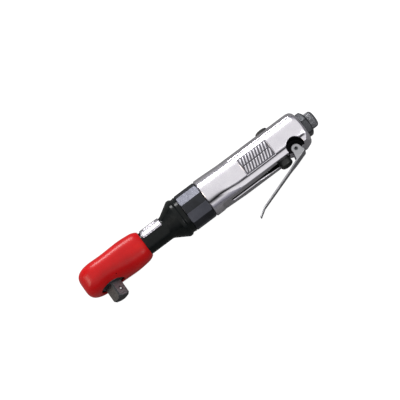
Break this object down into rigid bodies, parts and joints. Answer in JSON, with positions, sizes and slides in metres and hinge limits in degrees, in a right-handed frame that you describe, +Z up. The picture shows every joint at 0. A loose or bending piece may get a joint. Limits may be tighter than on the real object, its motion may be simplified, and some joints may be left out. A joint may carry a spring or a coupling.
{
  "type": "air ratchet",
  "caption": "Straight pneumatic ratchet wrench with a booted head, square drive, clamp nut, alloy grip housing, sheet steel throttle lever and threaded air inlet.",
  "frame": {"origin": "centre of the square drive's shoulder, where the collar ends and the square begins", "axes": "+X along the tool towards the air inlet, -Y out of the square drive, +Z up with the tool lying on its side"},
  "size_m": [0.2623, 0.0664, 0.0474],
  "materials": {
    "forged_black": "gloss black",
    "boot_red": "glossy moulded",
    "plate_metal": "satin",
    "hard_steel": "oiled, dark",
    "bright_steel": "ground",
    "drive_steel": "phosphated, worn at edges",
    "bronze": "sintered",
    "nut_finish": "dark satin",
    "polished_alloy": "polished casting",
    "cylinder_iron": "ground",
    "vane_phenolic": "machined laminate",
    "badge_metal": "embossed, satin",
    "lever_sheet": "tumbled, plated",
    "black_plastic": "moulded, fine texture",
    "seal_rubber": "matt",
    "bushing_steel": "black oxide, satin"
  },
  "bodies": {
    "tool": {"ratchet_housing": "forged_black", "head_boot": "boot_red", "data_plate": "plate_metal", "thrust_washer": "bright_steel", "head_circlip": "hard_steel", "front_crank_bush": "bronze", "rear_crank_bush": "bronze", "ring_gear": "hard_steel", "clamp_nut": "nut_finish", "clamp_ring": "bright_steel", "front_end_plate": "cylinder_iron", "front_bearing_outer": "bright_steel", "motor_cylinder": "cylinder_iron", "cylinder_dowel": "bright_steel", "rear_end_plate": "cylinder_iron", "rear_bearing_outer": "bright_steel", "motor_housing": "polished_alloy", "badge": "badge_metal", "lever_pin": "hard_steel", "valve_seat": "bronze", "valve_spring": "bright_steel", "valve_cap": "polished_alloy", "valve_cap_seal": "seal_rubber", "inlet_bushing": "bushing_steel", "inlet_seal": "seal_rubber", "inlet_screen": "bronze"},
    "yoke": {"drive_yoke": "hard_steel"},
    "anvil": {"drive_anvil": "drive_steel", "pawl_pin": "bright_steel", "socket_spring": "bright_steel"},
    "pawl": {"ratchet_pawl": "bright_steel"},
    "reverse": {"reverse_knob": "black_plastic", "selector_ball": "bright_steel", "selector_spring": "bright_steel"},
    "retainer": {"socket_ball": "bright_steel"},
    "crank": {"crankshaft": "hard_steel", "planet_pins": "bright_steel"},
    "crank_bush": {"drive_bush": "bronze"},
    "planet_1": {"planet_gear_1": "hard_steel"},
    "planet_2": {"planet_gear_2": "hard_steel"},
    "planet_3": {"planet_gear_3": "hard_steel"},
    "rotor": {"rotor": "hard_steel", "rotor_vanes": "vane_phenolic", "front_bearing_inner": "bright_steel", "rear_bearing_inner": "bright_steel"},
    "front_balls": {"front_bearing_balls": "bright_steel"},
    "rear_balls": {"rear_bearing_balls": "bright_steel"},
    "lever": {"throttle_lever": "lever_sheet"},
    "throttle": {"throttle_button": "black_plastic", "valve_ball": "bright_steel"}
  },
  "joints": [
    {"name": "lever_squeeze", "type": "hinge", "parent": "tool", "child": "lever", "pos_m": [0.2068, -0.003, 0], "axis": [0, 0, -1], "range_deg": [0, 20], "stiffness_Nm_per_rad": 0.4, "springref_deg": -17.19},
    {"name": "throttle_press", "type": "slide", "parent": "tool", "child": "throttle", "axis": [0, 1, 0], "range_m": [0, 0.0032], "deforming": ["valve_spring"]},
    {"name": "rotor_spin", "type": "hinge", "parent": "tool", "child": "rotor", "pos_m": [0.14, 0.0123, 0], "axis": [1, 0, 0], "continuous": true},
    {"name": "front_balls_spin", "type": "hinge", "parent": "tool", "child": "front_balls", "pos_m": [0.1176, 0.0123, 0], "axis": [1, 0, 0], "continuous": true},
    {"name": "rear_balls_spin", "type": "hinge", "parent": "tool", "child": "rear_balls", "pos_m": [0.1667, 0.0123, 0], "axis": [1, 0, 0], "continuous": true},
    {"name": "crank_spin", "type": "hinge", "parent": "tool", "child": "crank", "pos_m": [0.06, 0.0123, 0], "axis": [1, 0, 0], "continuous": true},
    {"name": "planet_1_spin", "type": "hinge", "parent": "crank", "child": "planet_1", "pos_m": [0.108, 0.0123, 0.0081], "axis": [1, 0, 0], "continuous": true},
    {"name": "planet_2_spin", "type": "hinge", "parent": "crank", "child": "planet_2", "pos_m": [0.108, 0.00528, -0.00405], "axis": [1, 0, 0], "continuous": true},
    {"name": "planet_3_spin", "type": "hinge", "parent": "crank", "child": "planet_3", "pos_m": [0.108, 0.01931, -0.00405], "axis": [1, 0, 0], "continuous": true},
    {"name": "crank_bush_spin", "type": "hinge", "parent": "crank", "child": "crank_bush", "pos_m": [0.019, 0.01407, 0], "axis": [1, 0, 0], "continuous": true},
    {"name": "yoke_swing", "type": "hinge", "parent": "tool", "child": "yoke", "pos_m": [0, 0.0123, 0], "axis": [0, -1, 0], "range_deg": [-5.5, 5.5]},
    {"name": "anvil_spin", "type": "hinge", "parent": "yoke", "child": "anvil", "pos_m": [0, 0.0123, 0], "axis": [0, -1, 0], "continuous": true},
    {"name": "reverse_turn", "type": "hinge", "parent": "anvil", "child": "reverse", "pos_m": [0, 0.0123, 0], "axis": [0, -1, 0], "range_deg": [0, 60]},
    {"name": "pawl_rock", "type": "hinge", "parent": "anvil", "child": "pawl", "pos_m": [-0.0076, 0.0123, 0], "axis": [0, -1, 0], "range_deg": [-20, 0]},
    {"name": "retainer_press", "type": "slide", "parent": "anvil", "child": "retainer", "axis": [-0.7071, 0, -0.7071], "range_m": [0, 0.00075], "stiffness_N_per_m": 800, "springref_m": -0.002, "deforming": ["socket_spring"]}
  ],
  "couplings": [
    {"joint": "throttle_press", "follows": "lever_squeeze", "m_per_rad": 0.009167},
    {"joint": "front_balls_spin", "follows": "rotor_spin", "ratio": 0.38889},
    {"joint": "rear_balls_spin", "follows": "rotor_spin", "ratio": 0.38461},
    {"joint": "crank_spin", "follows": "rotor_spin", "ratio": 0.22222},
    {"joint": "planet_1_spin", "follows": "rotor_spin", "ratio": -0.62222},
    {"joint": "planet_2_spin", "follows": "rotor_spin", "ratio": -0.62222},
    {"joint": "planet_3_spin", "follows": "rotor_spin", "ratio": -0.62222},
    {"joint": "crank_bush_spin", "follows": "rotor_spin", "ratio": -0.22222},
    {"joint": "pawl_rock", "follows": "reverse_turn", "ratio": -0.33333}
  ]
}
